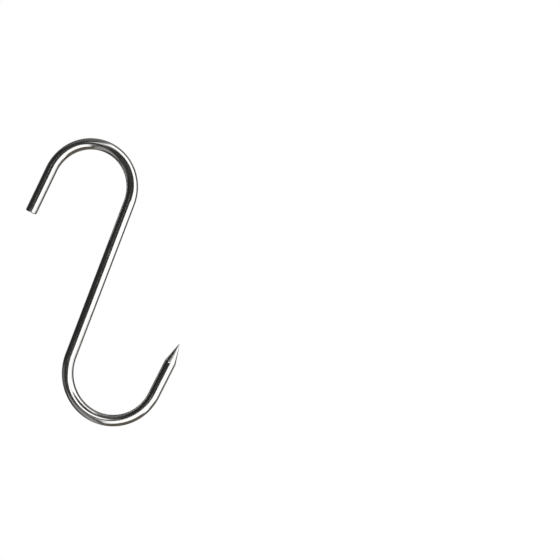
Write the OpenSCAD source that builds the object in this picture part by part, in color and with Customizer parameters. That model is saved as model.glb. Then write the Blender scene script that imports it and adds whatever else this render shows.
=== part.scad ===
// Pointed S hook bent from one length of round stainless steel bar.
// The hook hangs in the XZ plane, with its tail to -X and its point to +X.
// The origin is the rail seat, where the inside of the top bend rests on a rail.

/* [Bar] */
// Diameter of the round bar
bar_d = 5; // [3:0.5:8]
// Height of the hook over both bends
hook_h = 120; // [90:1:200]

/* [Bends] */
// Inside radius of the top bend, which hangs on the rail
rail_bend_r = 16; // [8:0.5:26]
// Inside radius of the lower bend, which carries the load
load_bend_r = 17; // [8:0.5:26]

/* [Straight lengths] */
// Straight length of the tail beyond the top bend
tail_len = 20; // [6:0.5:40]
// Straight length of full bar between the lower bend and the ground point
prong_len = 15; // [6:0.5:40]

/* [Lean from the vertical, degrees] */
// Outward lean of the tail
tail_lean = 26.5; // [0:0.5:40]
// Lean of the shank between the two bends
shank_lean = 21.5; // [5:0.5:30]
// Outward lean of the prong that carries the point
prong_lean = 27.5; // [0:0.5:40]

/* [Ends] */
// Length of the ground point, from its shoulder to its tip
point_len = 8.5; // [5:0.5:16]
// Radius that the tip is dulled to
tip_r = 0.2; // [0.1:0.05:0.6]
// Width of the broken edge round the cut face of the tail
cut_edge = 0.3; // [0.1:0.05:0.8]

/* [Hidden] */
steel = [0.74, 0.74, 0.73];

bar_r = bar_d / 2;
// Radius that the bar loses where the bend stretches it
bend_draw = 0.02;
bent_r = bar_r - bend_draw;
// Length that a straight runs on over the bend beside it
lap = 0.1;

rail_arc_r = rail_bend_r + bent_r;
load_arc_r = load_bend_r + bent_r;
rail_sweep = 180 + shank_lean - tail_lean;
load_sweep = 180 + shank_lean - prong_lean;

// The shank takes up the height that the two bends leave.
arc_rise = (rail_arc_r + load_arc_r) * (1 + sin(shank_lean));
shank_len = (hook_h - 2 * bent_r - arc_rise) / cos(shank_lean);

// Smoothness of the bar's section and of its bends
$fn = 96;

// Straight bar along +Y, which may lap over the bends before and after it.
module straight_run(len, lap_before = 0, lap_after = 0) {
    translate([0, -lap_before, 0])
        rotate([-90, 0, 0])
            cylinder(r = bar_r, h = lap_before + len + lap_after);
}

// Bend that starts along +Y and turns the bar towards -X.
module left_bend(arc_r, sweep) {
    translate([-arc_r, 0, 0])
        rotate_extrude(angle = sweep)
            translate([arc_r, 0])
                circle(r = bent_r);
}

// Bend that starts along +Y and turns the bar towards +X.
module right_bend(arc_r, sweep) {
    mirror([1, 0, 0])
        left_bend(arc_r, sweep);
}

// Moves its children to the end of a straight run.
module after_run(len) {
    translate([0, len, 0])
        children();
}

// Moves its children to the end of a bend towards -X.
module after_left_bend(arc_r, sweep) {
    translate([-arc_r, 0, 0])
        rotate([0, 0, sweep])
            translate([arc_r, 0, 0])
                children();
}

// Moves its children to the end of a bend towards +X.
module after_right_bend(arc_r, sweep) {
    translate([arc_r, 0, 0])
        rotate([0, 0, -sweep])
            translate([-arc_r, 0, 0])
                children();
}

// Sheared face of the tail with its edge broken, at the start of the bar.
module cut_end() {
    rotate([-90, 0, 0])
        cylinder(r1 = bar_r - cut_edge, r2 = bar_r, h = cut_edge);
}

// Ground conical point, along +Y, with its tip dulled to a blunt end.
module ground_point() {
    flank_len = point_len - tip_r / 2;
    rotate([-90, 0, 0]) {
        cylinder(r1 = bar_r, r2 = tip_r, h = flank_len);
        translate([0, 0, flank_len])
            cylinder(r1 = tip_r, r2 = tip_r / 2, h = tip_r / 2);
    }
}

// The bar as it is bent, from the cut end of the tail to the tip of the point.
module bent_bar() {
    cut_end();
    after_run(cut_edge) {
        straight_run(tail_len - cut_edge, lap_after = lap);
        after_run(tail_len - cut_edge) {
            right_bend(rail_arc_r, rail_sweep);
            after_right_bend(rail_arc_r, rail_sweep) {
                straight_run(shank_len, lap, lap);
                after_run(shank_len) {
                    left_bend(load_arc_r, load_sweep);
                    after_left_bend(load_arc_r, load_sweep) {
                        straight_run(prong_len, lap_before = lap);
                        after_run(prong_len)
                            ground_point();
                    }
                }
            }
        }
    }
}

// The bent bar stood up, with the inside of its top bend at the origin.
module hook() {
    color(steel)
        rotate([90, 0, 0])
            translate([0, -rail_bend_r, 0])
                rotate([0, 0, -tail_lean])
                    translate([-rail_arc_r, -tail_len, 0])
                        bent_bar();
}

hook();
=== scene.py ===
"""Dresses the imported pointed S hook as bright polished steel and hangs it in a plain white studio."""

import logging
import math
from dataclasses import dataclass, field
from enum import Enum

import bpy
import numpy as np
from mathutils import Matrix, Vector


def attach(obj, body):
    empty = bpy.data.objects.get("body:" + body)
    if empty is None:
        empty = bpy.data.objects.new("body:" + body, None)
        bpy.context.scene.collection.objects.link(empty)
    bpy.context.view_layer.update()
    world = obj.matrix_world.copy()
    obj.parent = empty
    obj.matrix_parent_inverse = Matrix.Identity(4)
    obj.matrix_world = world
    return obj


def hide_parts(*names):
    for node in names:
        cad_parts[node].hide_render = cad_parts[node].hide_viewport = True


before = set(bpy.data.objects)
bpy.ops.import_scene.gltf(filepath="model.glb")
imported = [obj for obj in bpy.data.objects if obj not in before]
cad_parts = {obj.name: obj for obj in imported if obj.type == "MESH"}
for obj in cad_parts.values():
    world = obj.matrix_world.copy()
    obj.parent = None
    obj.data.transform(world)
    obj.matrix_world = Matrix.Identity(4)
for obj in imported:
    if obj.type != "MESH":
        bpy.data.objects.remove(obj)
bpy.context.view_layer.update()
LOG = logging.getLogger("s_hook")
MM = 0.001
# Where the camera stands, in degrees to the right of the hook's front and above its level
CAMERA_AZIMUTH = 18.575
CAMERA_ELEVATION = -2.656


class Zone(Enum):
    """Parts of the bar's surface that are finished in different ways."""

    CUT_FACE = 0
    POLISHED_BAR = 1
    GROUND_POINT = 2


class Stretch(Enum):
    """Stretches of the bar that a flag is shaped for."""

    TOP_BEND = "top bend"
    POINT = "ground point"


# Helpers for node trees


class NodeSheet:
    """Builds one node tree, a node at a time, and links plain numbers or other nodes into it."""

    def __init__(self, tree: bpy.types.NodeTree) -> None:
        """Empties the tree.

        Args:
            tree: The node tree of a material or of the world.
        """
        self.tree = tree
        self.tree.nodes.clear()
        self.column = 0

    def add(self, kind: str, **settings: object) -> bpy.types.Node:
        """Adds a node and sets its properties.

        Args:
            kind: Blender's name of the node's type.
            **settings: Properties of the node, such as operation="ADD".

        Returns:
            The new node.
        """
        node = self.tree.nodes.new(kind)
        node.location = (self.column * 180, 0)
        self.column += 1
        for name, value in settings.items():
            setattr(node, name, value)
        return node

    def put(self, socket: bpy.types.NodeSocket, value: object) -> None:
        """Sets a socket to a value, or links it where the value is another node's output.

        Args:
            socket: The input to fill.
            value: A number, a colour, a vector or an output.
        """
        if isinstance(value, bpy.types.NodeSocket):
            self.tree.links.new(value, socket)
        else:
            socket.default_value = value

    def math(self, operation: str, *values: object) -> bpy.types.NodeSocket:
        """Works out one sum.

        Args:
            operation: Blender's name of the sum, such as "MULTIPLY".
            *values: Numbers or outputs, in the order of the node's inputs.

        Returns:
            The output with the result.
        """
        node = self.add("ShaderNodeMath", operation=operation)
        for socket, value in zip(node.inputs, values):
            self.put(socket, value)
        return node.outputs[0]

    def remap(self, value: object, low: float, high: float, to_low: float,
              to_high: float) -> bpy.types.NodeSocket:
        """Maps a range of a value smoothly on another range.

        Args:
            value: The output to map.
            low: Value that becomes to_low.
            high: Value that becomes to_high.
            to_low: Start of the new range.
            to_high: End of the new range.

        Returns:
            The output with the mapped value.
        """
        node = self.add("ShaderNodeMapRange", interpolation_type="SMOOTHSTEP")
        for name, number in (("From Min", low), ("From Max", high), ("To Min", to_low), ("To Max", to_high)):
            node.inputs[name].default_value = number
        self.put(node.inputs["Value"], value)
        return node.outputs["Result"]

    def mix(self, share: object, first: object, second: object) -> bpy.types.NodeSocket:
        """Mixes two colours.

        Args:
            share: Part of the second colour, from 0 to 1.
            first: Colour or output.
            second: Colour or output.

        Returns:
            The output with the mixed colour.
        """
        node = self.add("ShaderNodeMix", data_type="RGBA")
        self.put(node.inputs[0], share)
        self.put(node.inputs[6], first)
        self.put(node.inputs[7], second)
        return node.outputs[2]

    def noise(self, place: object, stretch: tuple[float, float, float], detail: float,
              rough: float) -> bpy.types.NodeSocket:
        """Adds a noise pattern that is stretched along the three axes.

        Args:
            place: Output with the coordinates, in millimetres.
            stretch: Number of blobs to the millimetre along each axis.
            detail: Number of finer layers.
            rough: Weight of the finer layers.

        Returns:
            The output with the pattern, about 0.5 in the middle.
        """
        scaled = self.add("ShaderNodeVectorMath", operation="MULTIPLY")
        self.put(scaled.inputs[0], place)
        scaled.inputs[1].default_value = stretch
        node = self.add("ShaderNodeTexNoise")
        node.inputs["Scale"].default_value = 1.0
        node.inputs["Detail"].default_value = detail
        node.inputs["Roughness"].default_value = rough
        self.put(node.inputs["Vector"], scaled.outputs[0])
        return node.outputs["Fac"]

    def bumped(self, height: object, strength: float, depth: float) -> bpy.types.NodeSocket:
        """Bumps the surface by a height.

        Args:
            height: Output with the height, from 0 to 1.
            strength: How strongly the bump turns the normal.
            depth: Depth of the bump, in metres.

        Returns:
            The output with the bumped normal.
        """
        node = self.add("ShaderNodeBump")
        node.inputs["Strength"].default_value = strength
        node.inputs["Distance"].default_value = depth
        self.put(node.inputs["Height"], height)
        return node.outputs["Normal"]

    def bar_frame(self) -> bpy.types.NodeSocket:
        """Returns the output with the place on the bar: two ways across and one along, in millimetres."""
        return self.add("ShaderNodeAttribute", attribute_name="bar_frame").outputs["Vector"]


# Finishes of the bar


@dataclass(frozen=True)
class PolishedSteel:
    """Drawn and tumbled bright bar: mirror-like, with faint lengthwise drawing lines and handling marks."""

    name: str = "polished_steel_bar"
    bright: tuple[float, float, float, float] = (0.84, 0.83, 0.815, 1.0)
    worn: tuple[float, float, float, float] = (0.74, 0.725, 0.70, 1.0)
    gloss: float = 0.085
    line_grain: tuple[float, float, float] = (1.5, 1.5, 0.018)
    hair_grain: tuple[float, float, float] = (7.0, 7.0, 0.07)
    mark_grain: tuple[float, float, float] = (0.30, 0.30, 0.11)
    tumbled_grain: tuple[float, float, float] = (3.2, 3.2, 2.4)
    line_strength: float = 0.06
    line_depth: float = 0.00002

    def make(self) -> bpy.types.Material:
        """Builds the drawn lines, the handling marks and the tumbled grain.

        Returns:
            The material of the bar.
        """
        material = bpy.data.materials.new(self.name)
        material.use_nodes = True
        sheet = NodeSheet(material.node_tree)
        run = sheet.bar_frame()
        drawn = sheet.noise(run, self.line_grain, 5.0, 0.62)
        fine = sheet.noise(run, self.hair_grain, 3.0, 0.6)
        handled = sheet.noise(run, self.mark_grain, 3.0, 0.55)
        tumbled = sheet.noise(run, self.tumbled_grain, 2.0, 0.5)
        rough = sheet.math("ADD", sheet.remap(drawn, 0.35, 0.7, 0.0, 0.05),
                           sheet.remap(handled, 0.45, 0.7, 0.0, 0.06))
        rough = sheet.math("ADD", rough, sheet.remap(fine, 0.4, 0.7, 0.0, 0.03))
        rough = sheet.math("ADD", rough, self.gloss)
        tone = sheet.math("ADD", sheet.remap(drawn, 0.4, 0.72, 0.0, 0.6),
                          sheet.remap(handled, 0.5, 0.72, 0.0, 0.4))
        height = sheet.math("MULTIPLY", drawn, 0.55)
        height = sheet.math("ADD", height, sheet.math("MULTIPLY", fine, 0.3))
        height = sheet.math("ADD", height, sheet.math("MULTIPLY", tumbled, 0.15))
        normal = sheet.bumped(height, self.line_strength, self.line_depth)
        return finish_metal(sheet, material, sheet.mix(tone, self.bright, self.worn), rough, normal)


@dataclass(frozen=True)
class GroundPoint:
    """Point ground on a wheel while the bar turned, with fine and broad rings round the cone."""

    name: str = "ground_steel_point"
    bright: tuple[float, float, float, float] = (0.82, 0.81, 0.80, 1.0)
    worn: tuple[float, float, float, float] = (0.66, 0.65, 0.635, 1.0)
    gloss: float = 0.12
    ring_grain: tuple[float, float, float] = (0.18, 0.18, 7.5)
    broad_grain: tuple[float, float, float] = (0.10, 0.10, 1.4)
    ring_strength: float = 0.25
    ring_depth: float = 0.00002

    def make(self) -> bpy.types.Material:
        """Builds the grinding rings.

        Returns:
            The material of the point.
        """
        material = bpy.data.materials.new(self.name)
        material.use_nodes = True
        sheet = NodeSheet(material.node_tree)
        run = sheet.bar_frame()
        rings = sheet.noise(run, self.ring_grain, 4.0, 0.65)
        broad = sheet.noise(run, self.broad_grain, 2.0, 0.5)
        rough = sheet.math("ADD", sheet.remap(rings, 0.35, 0.7, 0.0, 0.09),
                           sheet.remap(broad, 0.35, 0.7, 0.0, 0.05))
        rough = sheet.math("ADD", rough, self.gloss)
        height = sheet.math("ADD", sheet.math("MULTIPLY", rings, 0.7), sheet.math("MULTIPLY", broad, 0.3))
        normal = sheet.bumped(height, self.ring_strength, self.ring_depth)
        tone = sheet.remap(rings, 0.4, 0.75, 0.0, 1.0)
        return finish_metal(sheet, material, sheet.mix(tone, self.bright, self.worn), rough, normal)


@dataclass(frozen=True)
class ShearedFace:
    """Cut end of the bar: a burnished band where the blade entered and a dull, torn rest."""

    name: str = "sheared_steel_face"
    burnished: tuple[float, float, float, float] = (0.72, 0.71, 0.70, 1.0)
    torn: tuple[float, float, float, float] = (0.46, 0.45, 0.44, 1.0)
    torn_grain: tuple[float, float, float] = (2.6, 2.6, 1.0)
    drag_grain: tuple[float, float, float] = (0.9, 9.0, 1.0)
    tear_strength: float = 0.6
    tear_depth: float = 0.00006

    def make(self) -> bpy.types.Material:
        """Builds the burnished band, the torn grain and the marks that the blade dragged.

        Returns:
            The material of the cut face.
        """
        material = bpy.data.materials.new(self.name)
        material.use_nodes = True
        sheet = NodeSheet(material.node_tree)
        run = sheet.bar_frame()
        across = sheet.add("ShaderNodeSeparateXYZ")
        sheet.put(across.inputs[0], run)
        grain = sheet.noise(run, self.torn_grain, 5.0, 0.65)
        drag = sheet.noise(run, self.drag_grain, 3.0, 0.6)
        edge = sheet.math("ADD", across.outputs[0], sheet.math("MULTIPLY", grain, 1.4))
        tear = sheet.remap(edge, 0.2, 0.7, 1.0, 0.0)
        rough = sheet.math("ADD", sheet.math("MULTIPLY", tear, 0.26), 0.24)
        height = sheet.math("ADD", sheet.math("MULTIPLY", grain, tear), sheet.math("MULTIPLY", drag, 0.35))
        normal = sheet.bumped(height, self.tear_strength, self.tear_depth)
        return finish_metal(sheet, material, sheet.mix(tear, self.burnished, self.torn), rough, normal)


def finish_metal(sheet: NodeSheet, material: bpy.types.Material, colour: object, rough: object,
                 normal: object) -> bpy.types.Material:
    """Ends a metal's node tree with its shader.

    Args:
        sheet: The tree so far.
        material: The material that owns the tree.
        colour: Output with the metal's colour.
        rough: Output with its roughness.
        normal: Output with its bumped normal.

    Returns:
        The same material.
    """
    shader = sheet.add("ShaderNodeBsdfPrincipled")
    shader.inputs["Metallic"].default_value = 1.0
    sheet.put(shader.inputs["Base Color"], colour)
    sheet.put(shader.inputs["Roughness"], rough)
    sheet.put(shader.inputs["Normal"], normal)
    output = sheet.add("ShaderNodeOutputMaterial")
    sheet.put(output.inputs["Surface"], shader.outputs["BSDF"])
    return material


# The bent bar


@dataclass
class BentBar:
    """The hook: one round bar with a sheared tail, two bends, a straight shank and a ground point.

    Lengths are in millimetres and are those of the CAD part, whose frame this piece keeps. The drawn radii
    are a hundredth less than the part's, and centre_r is the part's own, which sets the centreline. The
    rings of the cut face are parts of the radius. Those of the broken edge are parts of its width, along
    the bar and off its radius, and those of the tip are parts of the tip's radius, along and out.
    """

    bar_r: float = 2.49
    bent_r: float = 2.47
    centre_r: float = 2.48
    hook_h: float = 120.0
    rail_bend_r: float = 16.0
    load_bend_r: float = 17.0
    tail_len: float = 20.0
    prong_len: float = 15.0
    tail_lean: float = 26.5
    shank_lean: float = 21.5
    prong_lean: float = 27.5
    point_len: float = 8.5
    tip_r: float = 0.2
    cut_edge: float = 0.3
    sides: int = 96
    bend_step: float = 0.42
    run_step: float = 1.0
    thinning_run: float = 3.0
    face_rings: tuple[float, ...] = (0.25, 0.5, 0.7, 0.82)
    edge_rings: tuple[tuple[float, float], ...] = (
        (0.04, 0.92), (0.3, 0.66), (0.75, 0.26), (0.95, 0.08), (1.15, 0.0))
    cone_rings: int = 34
    tip_rings: tuple[tuple[float, float], ...] = ((0.22, 0.86), (0.40, 0.62), (0.48, 0.32))
    unrolled_len: float = 227.0

    def lengths(self) -> tuple[float, float, float, float, float, float]:
        """Works out how long each stretch of the bar is.

        Returns:
            The lengths of tail, top bend, shank, lower bend, prong and point along the bar.
        """
        rail_arc = self.rail_bend_r + self.centre_r
        load_arc = self.load_bend_r + self.centre_r
        rise = (rail_arc + load_arc) * (1 + math.sin(math.radians(self.shank_lean)))
        shank = (self.hook_h - 2 * self.centre_r - rise) / math.cos(math.radians(self.shank_lean))
        top = rail_arc * math.radians(180 + self.shank_lean - self.tail_lean)
        low = load_arc * math.radians(180 + self.shank_lean - self.prong_lean)
        return self.tail_len, top, shank, low, self.prong_len, self.point_len

    def walk(self, along: np.ndarray) -> tuple[np.ndarray, np.ndarray]:
        """Follows the bar's centreline, as a bender would, from the cut end to the tip.

        Args:
            along: Distances from the cut end.

        Returns:
            The points of the centreline in the hook's plane, and the bar's direction there.
        """
        rail_arc = self.rail_bend_r + self.centre_r
        load_arc = self.load_bend_r + self.centre_r
        tail, top, shank, low, prong, point = self.lengths()
        heading = math.radians(90 - self.tail_lean)
        start = np.array([-rail_arc * math.cos(math.radians(self.tail_lean)),
                          rail_arc * math.sin(math.radians(self.tail_lean)) - self.rail_bend_r])
        start = start - tail * np.array([math.cos(heading), math.sin(heading)])
        runs = ((tail, 0.0), (top, -1 / rail_arc), (shank, 0.0), (low, 1 / load_arc), (prong + point, 0.0))
        place = np.zeros((len(along), 2))
        course = np.zeros((len(along), 2))
        begin = 0.0
        for length, turn in runs:
            last = begin + length >= sum(self.lengths()) - 1e-9
            inside = (along >= begin - 1e-9) & ((along <= begin + length + 1e-9) | last)
            step = along[inside] - begin
            place[inside] = start + arc_offset(heading, turn, step)
            bearing = heading + turn * step
            course[inside] = np.stack([np.cos(bearing), np.sin(bearing)], 1)
            start = start + arc_offset(heading, turn, np.array([length]))[0]
            heading += turn * length
            begin += length
        return place, course

    def profile(self) -> list[tuple[float, float, Zone]]:
        """Lists the rings of the bar.

        Returns:
            For each ring its distance from the cut end, its radius and the zone of the faces that follow it.
        """
        tail, top, shank, low, prong, point = self.lengths()
        edge = self.cut_edge
        rings = [(0.0, self.bar_r * share, Zone.CUT_FACE) for share in self.face_rings]
        rings.append((0.0, self.bar_r - edge, Zone.CUT_FACE))
        for reach, loss in self.edge_rings:
            rings.append((edge * reach, self.bar_r - edge * loss, Zone.POLISHED_BAR))
        shoulder = tail + top + shank + low + prong
        begin = 0.0
        stations = [edge * 1.3]
        for length, step in ((tail, self.run_step), (top, self.bend_step), (shank, self.run_step),
                             (low, self.bend_step), (prong, self.run_step)):
            count = max(2, round(length / step))
            stations += [begin + length * (i + 1) / count for i in range(count)]
            begin += length
        kept = [s for s in stations if edge * 1.25 < s < shoulder - 0.3]
        rings += [(s, self.drawn_radius(s), Zone.POLISHED_BAR) for s in kept]
        flank = point - self.tip_r / 2
        slope = (self.bar_r - self.tip_r) / flank
        rings += [(shoulder - 0.12, self.bar_r, Zone.POLISHED_BAR)]
        rings += [(shoulder - 0.03, self.bar_r - 0.002, Zone.GROUND_POINT)]
        for i in range(self.cone_rings + 1):
            reach = 0.06 + (flank - 0.06) * i / self.cone_rings
            rings.append((shoulder + reach, self.bar_r - slope * reach, Zone.GROUND_POINT))
        for beyond, share in self.tip_rings:
            rings.append((shoulder + flank + self.tip_r * beyond, self.tip_r * share, Zone.GROUND_POINT))
        return rings

    def drawn_radius(self, along: float) -> float:
        """Works out the bar's radius, which a bend draws thinner over a few millimetres.

        Args:
            along: Distance from the cut end.

        Returns:
            The radius there.
        """
        tail, top, shank, low, _, _ = self.lengths()
        thin = 0.0
        for start, length in ((tail, top), (tail + top + shank, low)):
            rise = min(max((along - start) / self.thinning_run, 0.0), 1.0)
            fall = min(max((start + length - along) / self.thinning_run, 0.0), 1.0)
            thin = max(thin, smooth(min(rise, fall)))
        return self.bar_r - (self.bar_r - self.bent_r) * thin

    def station(self, stretch: Stretch, place: float) -> float:
        """Finds a place on the bar.

        Args:
            stretch: The stretch of bar that the place is on.
            place: Degrees round the top bend from its +X side, or millimetres from the shoulder to the tip.

        Returns:
            The distance from the cut end, in millimetres.
        """
        tail, top, shank, low, prong, _ = self.lengths()
        if stretch is Stretch.TOP_BEND:
            return tail + (self.rail_bend_r + self.centre_r) * math.radians(180 - self.tail_lean - place)
        return tail + top + shank + low + prong + place

    def mirrored(self, stretch: Stretch, place: float, across: float,
                 eye: Vector) -> tuple[Vector, Vector]:
        """Follows the line of sight from the camera to the bar and on from its mirror-like surface.

        Args:
            stretch: The stretch of bar that is looked at.
            place: The place along it, as in station().
            across: Part of the bar's width left of its middle, looking towards the tip, from -1 to 1.
            eye: The camera's place, in millimetres.

        Returns:
            The place on the surface, in millimetres, and the mirrored direction.
        """
        place_2d, course_2d = self.walk(np.array([self.station(stretch, place)]))
        centre = Vector((place_2d[0, 0], 0.0, place_2d[0, 1]))
        course = Vector((course_2d[0, 0], 0.0, course_2d[0, 1]))
        sight = (eye - centre).normalized()
        facing = (sight - course * sight.dot(course)).normalized()
        left = course.cross(facing)
        if left.dot(Vector((-course.z, 0.0, course.x))) < 0:
            left = -left
        normal = facing * math.sqrt(1 - across * across) + left * across
        if stretch is Stretch.POINT:
            slope = math.atan((self.bar_r - self.tip_r) / (self.point_len - self.tip_r / 2))
            normal = normal * math.cos(slope) + course * math.sin(slope)
        return centre + normal * self.bar_r, normal * (2 * normal.dot(sight)) - sight

    def build(self) -> bpy.types.Object:
        """Builds the bar's mesh, with its unrolled coordinates and a UV map.

        Returns:
            The new object, at the CAD node's place.
        """
        rings = self.profile()
        along = np.array([ring[0] for ring in rings])
        radius = np.array([ring[1] for ring in rings])
        place, course = self.walk(along)
        turn = np.linspace(0, 2 * math.pi, self.sides, endpoint=False)
        side = np.stack([course[:, 1], -course[:, 0]], 1)
        reach = radius[:, None] * np.cos(turn)[None, :]
        depth = radius[:, None] * np.sin(turn)[None, :]
        points = np.zeros((len(rings), self.sides, 3))
        points[..., 0] = place[:, 0, None] + side[:, 0, None] * reach
        points[..., 1] = depth
        points[..., 2] = place[:, 1, None] + side[:, 1, None] * reach
        run = np.stack([reach, depth, np.repeat(along[:, None], self.sides, 1)], -1)
        ends, _ = self.walk(np.array([0.0, sum(self.lengths())]))
        caps = np.array([[ends[0, 0], 0.0, ends[0, 1]], [ends[1, 0], 0.0, ends[1, 1]]])
        verts = np.vstack([points.reshape(-1, 3), caps]) * MM
        unrolled = np.vstack([run.reshape(-1, 3), [[0.0, 0.0, 0.0], [0.0, 0.0, sum(self.lengths())]]])
        faces = []
        zones = []
        corners = []
        start_cap, tip_cap = len(rings) * self.sides, len(rings) * self.sides + 1
        for j in range(self.sides):
            k = (j + 1) % self.sides
            faces.append((start_cap, j, k))
            zones.append(Zone.CUT_FACE)
            corners.append(((j + 0.5, 0.0), (j, 0.0), (j + 1, 0.0)))
        for i in range(len(rings) - 1):
            zone = rings[i][2] if i else Zone.CUT_FACE
            low, high = i * self.sides, (i + 1) * self.sides
            for j in range(self.sides):
                k = (j + 1) % self.sides
                faces.append((low + j, high + j, high + k, low + k))
                zones.append(zone)
                corners.append(((j, along[i]), (j, along[i + 1]), (j + 1, along[i + 1]), (j + 1, along[i])))
        top = (len(rings) - 1) * self.sides
        for j in range(self.sides):
            k = (j + 1) % self.sides
            faces.append((tip_cap, top + k, top + j))
            zones.append(Zone.GROUND_POINT)
            corners.append(((j + 0.5, along[-1]), (j + 1, along[-1]), (j, along[-1])))
        mesh = bpy.data.meshes.new("bent_hook")
        mesh.from_pydata(verts.tolist(), [], faces)
        uv = mesh.uv_layers.new(name="unrolled")
        girth = 2 * math.pi * self.bar_r / self.sides / self.unrolled_len
        flat = [(c[0] * girth, c[1] / self.unrolled_len) for f in corners for c in f]
        uv.data.foreach_set("uv", np.array(flat, np.float32).ravel())
        attribute = mesh.attributes.new("bar_frame", "FLOAT_VECTOR", "POINT")
        attribute.data.foreach_set("vector", unrolled.astype(np.float32).ravel())
        mesh.polygons.foreach_set("material_index", np.array([z.value for z in zones], np.int32))
        mesh.polygons.foreach_set("use_smooth", np.ones(len(faces), bool))
        mesh.update()
        made = bpy.data.objects.new("bent_hook", mesh)
        bpy.context.scene.collection.objects.link(made)
        return made

    def dress(self, made: bpy.types.Object) -> None:
        """Gives each zone its finish and ties the piece to the CAD node that it stands for.

        Args:
            made: The bar, with a zone's number on each face.
        """
        for finish in (ShearedFace(), PolishedSteel(), GroundPoint()):
            made.data.materials.append(finish.make())
        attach(made, "root")
        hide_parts("hook")


def arc_offset(heading: float, turn: float, step: np.ndarray) -> np.ndarray:
    """Works out how far a bar has come along a run of constant curvature.

    Args:
        heading: Direction at the start, in radians.
        turn: Curvature, positive to the left, in radians to the millimetre.
        step: Distances along the run.

    Returns:
        The offsets from the start of the run.
    """
    if abs(turn) < 1e-12:
        return step[:, None] * np.array([[math.cos(heading), math.sin(heading)]])
    ahead = heading + turn * step
    return np.stack([np.sin(ahead) - math.sin(heading), math.cos(heading) - np.cos(ahead)], 1) / turn


def smooth(share: float) -> float:
    """Returns a share from 0 to 1 with a soft start and end."""
    return share * share * (3 - 2 * share)


# The studio


def way_to_camera() -> Vector:
    """Works out where the camera is.

    Returns:
        The direction from the hook to the camera.
    """
    azimuth, elevation = math.radians(CAMERA_AZIMUTH), math.radians(CAMERA_ELEVATION)
    level = math.cos(elevation)
    return Vector((math.sin(azimuth) * level, -math.cos(azimuth) * level, math.sin(elevation)))


@dataclass(frozen=True)
class Board:
    """A curved board or flag round the hook that only its reflections see.

    Its outline is in degrees to the right of and above the line from the hook to the camera. Its rim is
    the part of it that fades out.
    """

    name: str
    outline: tuple[tuple[float, float], ...]
    level: float
    rim: float
    distance: float
    tint: tuple[float, float, float] = (1.0, 1.0, 1.0)
    rings: int = 10
    seen_from: tuple[float, float] | None = None
    edge_step: float = 3.0

    def build(self, studio: "Studio") -> None:
        """Bends the board round the hook.

        Args:
            studio: The studio, which knows the way to the camera.
        """
        corners = np.array(self.outline, float)
        middle = corners.mean(0)
        edge = []
        for start, end in zip(corners, np.roll(corners, -1, 0)):
            count = max(1, int(np.ceil(np.linalg.norm(end - start) / self.edge_step)))
            edge += [start + (end - start) * i / count for i in range(count)]
        edge = np.array(edge)
        shares = np.linspace(0, 1, self.rings + 1)[1:]
        flat = np.vstack([middle[None]] + [middle + (edge - middle) * share for share in shares])
        fades = [np.full(len(edge), min(1.0, (1 - share) / self.rim)) for share in shares]
        fade = np.concatenate([[1.0]] + fades)
        aim = studio.aim
        if self.seen_from is not None:
            aim = Vector((self.seen_from[0] * MM, 0.0, self.seen_from[1] * MM))
        verts = [list(aim + studio.towards(x, y) * self.distance) for x, y in flat]
        count = len(edge)
        faces = [(0, 1 + j, 1 + (j + 1) % count) for j in range(count)]
        for i in range(self.rings - 1):
            low, high = 1 + i * count, 1 + (i + 1) * count
            for j in range(count):
                k = (j + 1) % count
                faces.append((low + j, high + j, high + k, low + k))
        mesh = bpy.data.meshes.new(self.name)
        mesh.from_pydata(verts, [], faces)
        shade = mesh.attributes.new("fade", "FLOAT", "POINT")
        shade.data.foreach_set("value", fade.astype(np.float32))
        board = bpy.data.objects.new(self.name, mesh)
        bpy.context.scene.collection.objects.link(board)
        only_reflected(board)
        board.data.materials.append(self.surface())

    def surface(self) -> bpy.types.Material:
        """Builds the board's even surface, which fades out at its rim.

        Returns:
            The material of the board.
        """
        material = bpy.data.materials.new(self.name)
        material.use_nodes = True
        sheet = NodeSheet(material.node_tree)
        shade = sheet.add("ShaderNodeAttribute", attribute_name="fade").outputs["Fac"]
        glow = sheet.add("ShaderNodeEmission")
        glow.inputs["Color"].default_value = (*self.tint, 1.0)
        glow.inputs["Strength"].default_value = self.level
        clear = sheet.add("ShaderNodeBsdfTransparent")
        blend = sheet.add("ShaderNodeMixShader")
        sheet.put(blend.inputs[0], sheet.remap(shade, 0.0, 1.0, 0.0, 1.0))
        sheet.put(blend.inputs[1], clear.outputs[0])
        sheet.put(blend.inputs[2], glow.outputs[0])
        output = sheet.add("ShaderNodeOutputMaterial")
        sheet.put(output.inputs["Surface"], blend.outputs[0])
        return material


def only_reflected(thing: bpy.types.Object) -> None:
    """Leaves a stage piece to reflections alone: neither the camera nor plain light meets it.

    Args:
        thing: The board or flag.
    """
    thing.visible_camera = False
    thing.visible_diffuse = False
    thing.visible_transmission = False
    thing.visible_shadow = False


def round_outline(radius: float, count: int = 72) -> tuple[tuple[float, float], ...]:
    """Works out a round board about the line to the camera.

    Args:
        radius: The board's radius, in degrees.
        count: Number of corners.

    Returns:
        The board's outline.
    """
    turns = [2 * math.pi * i / count for i in range(count)]
    return tuple((radius * math.cos(t), radius * math.sin(t)) for t in turns)


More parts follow.
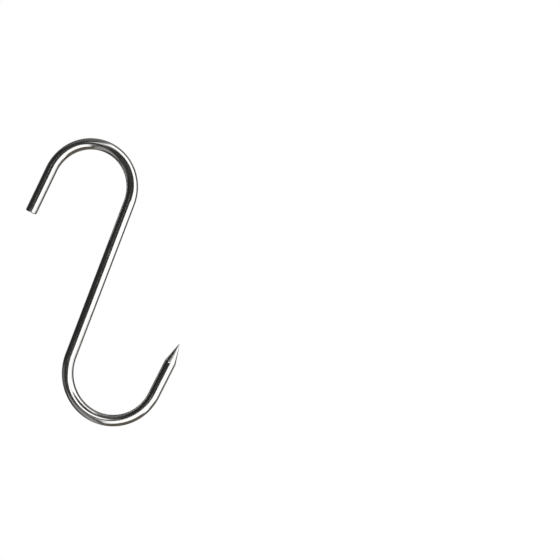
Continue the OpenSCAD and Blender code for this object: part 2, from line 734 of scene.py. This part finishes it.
@dataclass(frozen=True)
class Flag:
    """A board whose outline is given by the spots on the bar that are to mirror its corners to the camera.

    Each spot is a place along the stretch and a part of the bar's width, as in BentBar.mirrored().
    """

    name: str
    stretch: Stretch
    spots: tuple[tuple[float, float], ...]
    level: float
    rim: float
    distance: float
    tint: tuple[float, float, float] = (1.0, 1.0, 1.0)
    seen_from: tuple[float, float] = (0.0, -16.0)

    def board(self, studio: "Studio", bar: BentBar, eye: Vector) -> Board:
        """Works out the flag's outline.

        Args:
            studio: The studio, which knows the way to the camera.
            bar: The bar that mirrors the flag.
            eye: The camera's place, in millimetres.

        Returns:
            The flag as a board.
        """
        middle = Vector((self.seen_from[0], 0.0, self.seen_from[1]))
        outline = []
        for place, across in self.spots:
            start, ray = bar.mirrored(self.stretch, place, across, eye)
            start = start - middle
            ahead = start.dot(ray)
            reach = math.sqrt(ahead * ahead - start.length_squared + (self.distance / MM) ** 2) - ahead
            outline.append(studio.bearing(start + ray * reach))
        return Board(self.name, tuple(outline), self.level, self.rim, self.distance, self.tint,
                     seen_from=self.seen_from)


@dataclass
class Studio:
    """White room with dark flags and white boards round the hook, a soft lamp, and a pale floor below."""

    aim: Vector = field(default_factory=lambda: Vector((0.005, 0.0, -0.056)))
    plain_light: float = 0.8
    floor_z: float = -0.30
    floor_r: float = 0.55
    floor_sides: int = 96
    floor_melt: tuple[float, float] = (0.45, 0.97)
    floor_roughness: float = 0.8
    floor_grain: float = 60.0
    floor_colours: tuple[tuple[float, ...], ...] = ((0.86, 0.86, 0.86, 1.0), (0.9, 0.9, 0.9, 1.0))
    lamp_place: tuple[float, float, float] = (0.35, -0.55, 0.55)
    lamp_width: float = 0.5
    lamp_power: float = 2.2
    boards: tuple[Board, ...] = (
        Board("dark_tent", round_outline(154), 0.024, 0.10, 2.0, rings=24),
        Board("right_rim",
              ((58, -62), (82, -50), (90, 0), (88, 60), (120, 75), (146, 20), (146, -20), (120, -75),
               (84, -92)),
              0.09, 0.2, 1.9),
        Board("left_rim",
              ((-50, 96), (-84, 70), (-112, 36), (-140, 44), (-118, 88), (-70, 118)),
              0.14, 0.3, 1.9),
        Board("low_rim",
              ((-60, -96), (0, -112), (60, -96), (75, -120), (30, -146), (-30, -146), (-75, -120)),
              0.13, 0.2, 1.9, (1.0, 0.88, 0.80)),
        Board("left_glow",
              ((-54, 4), (-90, 10), (-126, 4), (-132, -26), (-100, -34), (-66, -16)),
              0.13, 0.4, 1.9),
        Board("top_glow",
              ((-58, 48), (-30, 52), (-4, 78), (4, 110), (-30, 124), (-62, 104), (-72, 70)),
              0.12, 0.35, 1.9),
        Board("white_board",
              ((-36, -100), (-42, -60), (-42, -40), (-41, -22), (-40, -8), (-36, 4), (-37, 24), (-36, 36),
               (-31, 42), (-18, 60), (8, 88), (26, 92), (46, 84), (62, 68), (80, 46), (90, 22), (94, 0),
               (90, -30), (80, -46), (67, -52), (50, -67), (26, -87), (-5, -102)),
              1.35, 0.04, 1.6),
        Board("dark_wedge",
              ((-46, 12), (-36, 13), (-24, 9), (-12, 7), (0, 4), (8, 0), (10, -4), (11, -9), (9, -13),
               (4, -15), (0, -18), (-8, -20), (-18, -18), (-26, -14), (-36, -6), (-46, 4)),
              0.026, 0.10, 1.55),
        Board("dark_neck",
              ((-58, 22), (-40, 14), (-26, 9), (-26, -4), (-38, -4), (-58, 8)),
              0.026, 0.10, 1.5),
        Board("grey_board",
              ((-47, -10), (-46, -18), (-46, -40), (-45, -70), (-40, -98), (-52, -112), (-66, -100),
               (-78, -60), (-85, -36), (-82, -16)),
              0.30, 0.2, 1.5),
    )
    flags: tuple[Flag, ...] = (
        Flag("outer_veil", Stretch.TOP_BEND,
             ((94, 0.94), (90, 0.74), (78, 0.66), (62, 0.64), (45, 0.66), (30, 0.72), (16, 0.80), (18, 0.95),
              (45, 0.97), (70, 0.97)), 0.17, 0.25, 1.56),
        Flag("olive_under", Stretch.TOP_BEND,
             ((128, -0.40), (116, -0.36), (104, -0.34), (92, -0.36), (80, -0.42), (76, -0.80), (92, -0.90),
              (110, -0.90), (128, -0.85)), 0.12, 0.3, 1.55, (1.0, 0.90, 0.70)),
        Flag("olive_left", Stretch.TOP_BEND,
             ((152, -0.68), (141, -0.56), (130, -0.45), (126, -0.85), (148, -0.95)), 0.16, 0.3, 1.54,
             (1.0, 0.92, 0.78)),
        Flag("half_veil", Stretch.TOP_BEND,
             ((96, -0.05), (92, 0.12), (84, 0.26), (74, 0.40), (62, 0.48), (50, 0.50), (36, 0.48), (40, 0.1),
              (60, -0.1), (80, -0.14)), 0.30, 0.6, 0.155),
        Flag("dark_flag", Stretch.TOP_BEND,
             ((80, 0.12), (72, 0.20), (62, 0.29), (50, 0.36), (36, 0.41), (24, 0.42), (10, 0.38), (-5, 0.30),
              (-15, 0.2), (-21, 0.1), (-21, -0.2), (0, -0.25), (30, -0.25), (60, -0.2), (80, -0.1)),
             0.026, 0.10, 0.150),
        Flag("point_flag", Stretch.POINT,
             ((-5, -0.25), (2, -0.12), (5, -0.06), (8.2, 0.02), (8.2, 0.6), (2, 0.7), (-5, 0.7), (-5, 0.4),
              (-5, 0.15)), 0.03, 0.12, 0.23, seen_from=(35.0, -84.0)),
    )

    def build(self, bar: BentBar, eye: Vector) -> None:
        """Builds the room, the floor, the boards, the flags and the lamp.

        Args:
            bar: The bar that mirrors the flags.
            eye: The camera's place, in metres.
        """
        self.world()
        self.floor()
        for board in self.boards:
            board.build(self)
            LOG.info("board %s, %.2f m away", board.name, board.distance)
        for flag in self.flags:
            flag.board(self, bar, eye / MM).build(self)
            LOG.info("flag %s, %.2f m away", flag.name, flag.distance)
        self.lamp()

    def axes(self) -> tuple[Vector, Vector, Vector]:
        """Works out the directions that the outlines are measured from.

        Returns:
            The directions from the hook to the camera, to the right of that line and up from it.
        """
        axis = way_to_camera()
        side = Vector((math.cos(math.radians(CAMERA_AZIMUTH)), math.sin(math.radians(CAMERA_AZIMUTH)), 0.0))
        return axis, side, axis.cross(side)

    def bearing(self, way: Vector) -> tuple[float, float]:
        """Gives a direction as an outline has it.

        Args:
            way: The direction from the hook.

        Returns:
            Degrees to the right of the line to the camera, and degrees above it.
        """
        axis, side, rise = self.axes()
        way = way.normalized()
        away = math.degrees(math.acos(max(-1.0, min(1.0, way.dot(axis)))))
        turn = math.atan2(way.dot(rise), way.dot(side))
        return away * math.cos(turn), away * math.sin(turn)

    def towards(self, right: float, up: float) -> Vector:
        """Works out a direction from the hook.

        Args:
            right: Degrees to the right of the line to the camera.
            up: Degrees above it.

        Returns:
            The unit vector.
        """
        axis, side, rise = self.axes()
        away, turn = math.radians(math.hypot(right, up)), math.atan2(up, right)
        return axis * math.cos(away) + (side * math.cos(turn) + rise * math.sin(turn)) * math.sin(away)

    def world(self) -> None:
        """Makes the surroundings white to the camera and to reflections, and a plain soft light otherwise."""
        world = bpy.data.worlds.new("white_room")
        world.use_nodes = True
        bpy.context.scene.world = world
        sheet = NodeSheet(world.node_tree)
        rays = sheet.add("ShaderNodeLightPath")
        seen = sheet.math("MAXIMUM", rays.outputs["Is Camera Ray"], rays.outputs["Is Glossy Ray"])
        seen = sheet.math("MAXIMUM", seen, rays.outputs["Is Transmission Ray"])
        light = sheet.add("ShaderNodeBackground")
        light.inputs["Color"].default_value = (1.0, 1.0, 1.0, 1.0)
        white = sheet.math("MULTIPLY", seen, 1.0 - self.plain_light)
        sheet.put(light.inputs["Strength"], sheet.math("ADD", white, self.plain_light))
        output = sheet.add("ShaderNodeOutputWorld")
        sheet.put(output.inputs["Surface"], light.outputs[0])

    def floor(self) -> None:
        """Lays a pale round floor below the hanging hook, whose rim melts into the white room."""
        count = self.floor_sides
        turn = np.linspace(0, 2 * math.pi, count, endpoint=False)
        level = np.full(count, self.floor_z)
        rim = np.stack([np.cos(turn) * self.floor_r, np.sin(turn) * self.floor_r, level], 1)
        mesh = bpy.data.meshes.new("pale_floor")
        mesh.from_pydata(rim.tolist(), [], [tuple(range(count))])
        floor = bpy.data.objects.new("pale_floor", mesh)
        bpy.context.scene.collection.objects.link(floor)
        material = bpy.data.materials.new("pale_floor")
        material.use_nodes = True
        sheet = NodeSheet(material.node_tree)
        place = sheet.add("ShaderNodeTexCoord").outputs["Object"]
        radius = sheet.add("ShaderNodeVectorMath", operation="LENGTH")
        flat = sheet.add("ShaderNodeVectorMath", operation="MULTIPLY")
        sheet.put(flat.inputs[0], place)
        flat.inputs[1].default_value = (1.0, 1.0, 0.0)
        sheet.put(radius.inputs[0], flat.outputs[0])
        start, end = (self.floor_r * share for share in self.floor_melt)
        melt = sheet.remap(radius.outputs["Value"], start, end, 0.0, 1.0)
        grain = sheet.add("ShaderNodeTexNoise")
        grain.inputs["Scale"].default_value = self.floor_grain
        sheet.put(grain.inputs["Vector"], place)
        shader = sheet.add("ShaderNodeBsdfPrincipled")
        sheet.put(shader.inputs["Base Color"], sheet.mix(grain.outputs["Fac"], *self.floor_colours))
        shader.inputs["Roughness"].default_value = self.floor_roughness
        clear = sheet.add("ShaderNodeBsdfTransparent")
        blend = sheet.add("ShaderNodeMixShader")
        sheet.put(blend.inputs[0], melt)
        sheet.put(blend.inputs[1], shader.outputs[0])
        sheet.put(blend.inputs[2], clear.outputs[0])
        output = sheet.add("ShaderNodeOutputMaterial")
        sheet.put(output.inputs["Surface"], blend.outputs[0])
        floor.data.materials.append(material)
        floor.visible_glossy = False

    def lamp(self) -> None:
        """Hangs one large soft lamp above and to the right of the camera."""
        data = bpy.data.lights.new("soft_lamp", "AREA")
        data.shape = "RECTANGLE"
        data.size = self.lamp_width
        data.size_y = self.lamp_width
        data.energy = self.lamp_power
        lamp = bpy.data.objects.new("soft_lamp", data)
        bpy.context.scene.collection.objects.link(lamp)
        place = Vector(self.lamp_place)
        lamp.location = place
        lamp.rotation_mode = "QUATERNION"
        lamp.rotation_quaternion = (place - self.aim).to_track_quat("Z", "Y")
        lamp.visible_glossy = False
        lamp.visible_camera = False


@dataclass(frozen=True)
class Viewpoint:
    """The camera at the photograph's place: to the right of the hook, a little below its middle.

    It is turned by pan, tilt and roll, in degrees, and its lens and sensor are in millimetres.
    """

    distance: float = 0.450
    pan: float = 8.397
    tilt: float = -2.838
    roll: float = 0.291
    lens: float = 68.48
    sensor: float = 36.0
    aim: tuple[float, float, float] = (0.0, 0.0, -0.056)

    def eye(self) -> Vector:
        """Returns the camera's place, in metres."""
        return Vector(self.aim) + way_to_camera() * self.distance

    def build(self) -> None:
        """Makes the camera and gives it to the scene."""
        data = bpy.data.cameras.new("camera")
        data.lens = self.lens
        data.sensor_width = self.sensor
        data.clip_start = 0.01
        data.clip_end = 20.0
        camera = bpy.data.objects.new("camera", data)
        bpy.context.scene.collection.objects.link(camera)
        pan, tilt, roll = math.radians(self.pan), math.radians(self.tilt), math.radians(self.roll)
        ahead = Vector((-math.sin(pan) * math.cos(tilt), math.cos(pan) * math.cos(tilt), -math.sin(tilt)))
        right = Vector((math.cos(pan), math.sin(pan), 0.0))
        up = right.cross(ahead)
        level = right * math.cos(roll) - up * math.sin(roll)
        rise = right * math.sin(roll) + up * math.cos(roll)
        turn = Matrix((level, rise, -ahead)).transposed()
        camera.matrix_world = Matrix.Translation(self.eye()) @ turn.to_4x4()
        bpy.context.scene.camera = camera


def main() -> None:
    """Builds the hook, its studio and the camera, and reports each."""
    logging.basicConfig(level=logging.INFO, format="%(message)s")
    bpy.context.scene.view_settings.view_transform = "Standard"
    bar = BentBar()
    hook = bar.build()
    bar.dress(hook)
    LOG.info("bent_hook: %d faces, %.1f mm of bar", len(hook.data.polygons), sum(bar.lengths()))
    camera = Viewpoint()
    studio = Studio()
    studio.build(bar, camera.eye())
    LOG.info("studio: floor, lamp, %d boards and %d flags", len(studio.boards), len(studio.flags))
    camera.build()
    LOG.info("camera: %.3f m from the hook", camera.distance)


if __name__ == "__main__":
    main()
